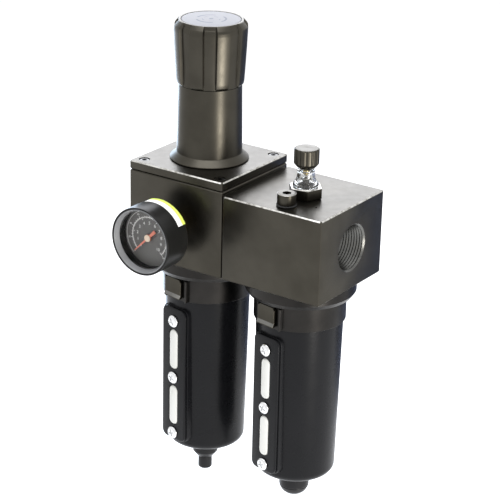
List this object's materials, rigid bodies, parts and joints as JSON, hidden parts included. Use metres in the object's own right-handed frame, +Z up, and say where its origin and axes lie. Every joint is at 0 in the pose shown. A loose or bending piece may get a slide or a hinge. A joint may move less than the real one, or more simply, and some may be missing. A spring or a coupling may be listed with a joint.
{
  "type": "filter regulator lubricator",
  "caption": "Compressed-air preparation unit: a filter and regulator block with knob, gauge and metal bowl, joined to a lubricator block with sight dome and oil bowl.",
  "frame": {"origin": "centre of the inlet port's mouth, on the left face of the filter regulator block", "axes": "+X the way the air flows, from inlet to outlet; -Y the gauge side; +Z up"},
  "size_m": [0.165, 0.1235, 0.357],
  "materials": {
    "anodised_metal": "satin dark olive-grey anodised",
    "black_paint": "semi-gloss black",
    "zinc_plate": "bright zinc plate",
    "steel": "plain machined",
    "brass": "machined",
    "black_fitting": "black oxide",
    "gauge_case": "satin black",
    "dial_face": "matt black with white scale",
    "pointer_red": "matt red-orange",
    "clear_lens": "clear polycarbonate",
    "rubber": "matt",
    "white_plastic": "moulded",
    "sintered_filter": "porous sintered",
    "knob_disc": "satin with printed rings"
  },
  "bodies": {
    "housing": {"filter_regulator_body": "anodised_metal", "cover_plate": "anodised_metal", "cover_screw_1": "steel", "cover_screw_2": "steel", "cover_screw_3": "steel", "cover_screw_4": "steel", "spring_bonnet": "anodised_metal", "range_spring": "steel", "diaphragm": "rubber", "valve_spring": "steel", "valve_guide": "brass", "air_deflector": "white_plastic", "filter_element": "sintered_filter", "element_retainer": "white_plastic", "gauge_stem": "brass", "gauge_case": "gauge_case", "gauge_lens": "clear_lens", "gauge_dial": "dial_face", "gauge_tube": "brass", "rear_port_plug": "steel", "joining_nipple": "brass", "joint_seal": "rubber", "lubricator_body": "anodised_metal", "venturi_bush": "brass", "dome_base": "anodised_metal", "sight_dome": "clear_lens", "siphon_tube": "white_plastic", "siphon_strainer": "sintered_filter"},
    "adjusting_knob": {"adjusting_knob": "anodised_metal", "knob_cap_disc": "knob_disc", "adjusting_screw": "steel"},
    "spring_nut": {"spring_nut": "brass"},
    "valve": {"diaphragm_plate": "brass", "valve_poppet": "brass"},
    "gauge_pointer": {"gauge_pointer": "pointer_red"},
    "filter_bowl": {"filter_bowl": "black_paint", "filter_bowl_seal": "rubber", "filter_bowl_collar": "anodised_metal", "filter_sight_lens": "clear_lens", "filter_sight_frame": "black_paint", "filter_sight_screw_1": "zinc_plate", "filter_sight_screw_2": "zinc_plate", "filter_sight_screw_3": "zinc_plate", "drain_body": "black_fitting"},
    "filter_latch": {"filter_bowl_latch": "anodised_metal"},
    "drain_knob": {"drain_knob": "black_fitting"},
    "oil_bowl": {"oil_bowl": "black_paint", "oil_bowl_seal": "rubber", "oil_bowl_collar": "anodised_metal", "oil_sight_lens": "clear_lens", "oil_sight_frame": "black_paint", "oil_sight_screw_1": "zinc_plate", "oil_sight_screw_2": "zinc_plate", "oil_sight_screw_3": "zinc_plate", "oil_drain_plug": "black_fitting"},
    "oil_latch": {"oil_bowl_latch": "anodised_metal"},
    "oil_needle": {"oil_needle": "brass"},
    "oil_knob": {"oil_knob": "anodised_metal"},
    "fill_washer": {"fill_plug_washer": "rubber"},
    "fill_plug": {"fill_plug": "anodised_metal"}
  },
  "joints": [
    {"name": "knob_turn", "type": "hinge", "parent": "housing", "child": "adjusting_knob", "pos_m": [0.04125, 0, 0.118], "axis": [0, 0, -1], "range_deg": [0, 1440]},
    {"name": "nut_travel", "type": "slide", "parent": "housing", "child": "spring_nut", "axis": [0, 0, -1], "range_m": [0, 0.006], "deforming": ["range_spring"]},
    {"name": "valve_open", "type": "slide", "parent": "housing", "child": "valve", "axis": [0, 0, -1], "range_m": [0, 0.0022], "stiffness_N_per_m": 2000, "springref_m": -0.001, "deforming": ["valve_spring", "diaphragm"]},
    {"name": "pointer_swing", "type": "hinge", "parent": "housing", "child": "gauge_pointer", "pos_m": [0.04125, -0.073, 0], "axis": [0, 1, 0], "range_deg": [0, 270], "stiffness_Nm_per_rad": 0.00005, "springref_deg": -17.19},
    {"name": "filter_bowl_turn", "type": "hinge", "parent": "housing", "child": "filter_bowl", "pos_m": [0.04125, 0, -0.05], "axis": [0, 0, 1], "range_deg": [0, 40]},
    {"name": "filter_latch_slide", "type": "slide", "parent": "filter_bowl", "child": "filter_latch", "axis": [0, 0, -1], "range_m": [0, 0.0035], "stiffness_N_per_m": 400, "springref_m": -0.004},
    {"name": "drain_turn", "type": "hinge", "parent": "filter_bowl", "child": "drain_knob", "pos_m": [0.04125, 0, -0.2], "axis": [0, 0, 1], "range_deg": [0, 180]},
    {"name": "oil_bowl_turn", "type": "hinge", "parent": "housing", "child": "oil_bowl", "pos_m": [0.12375, 0, -0.05], "axis": [0, 0, 1], "range_deg": [0, 40]},
    {"name": "oil_latch_slide", "type": "slide", "parent": "oil_bowl", "child": "oil_latch", "axis": [0, 0, -1], "range_m": [0, 0.0035], "stiffness_N_per_m": 400, "springref_m": -0.004},
    {"name": "oil_knob_turn", "type": "hinge", "parent": "oil_needle", "child": "oil_knob", "pos_m": [0.12825, -0.005, 0.062], "axis": [0, 0, 1], "range_deg": [0, 1080]},
    {"name": "needle_rise", "type": "slide", "parent": "housing", "child": "oil_needle", "axis": [0, 0, 1], "range_m": [0, 0.0021]},
    {"name": "fill_plug_turn", "type": "hinge", "parent": "fill_washer", "child": "fill_plug", "pos_m": [0.12775, -0.028, 0.036], "axis": [0, 0, 1], "range_deg": [0, 1800]},
    {"name": "fill_plug_rise", "type": "slide", "parent": "housing", "child": "fill_washer", "axis": [0, 0, 1], "range_m": [0, 0.0075]}
  ],
  "couplings": [
    {"joint": "nut_travel", "follows": "knob_turn", "m_per_rad": 0.00023873},
    {"joint": "oil_knob_turn", "follows": "needle_rise", "rad_per_m": 8976},
    {"joint": "fill_plug_turn", "follows": "fill_plug_rise", "rad_per_m": 4188.8}
  ]
}
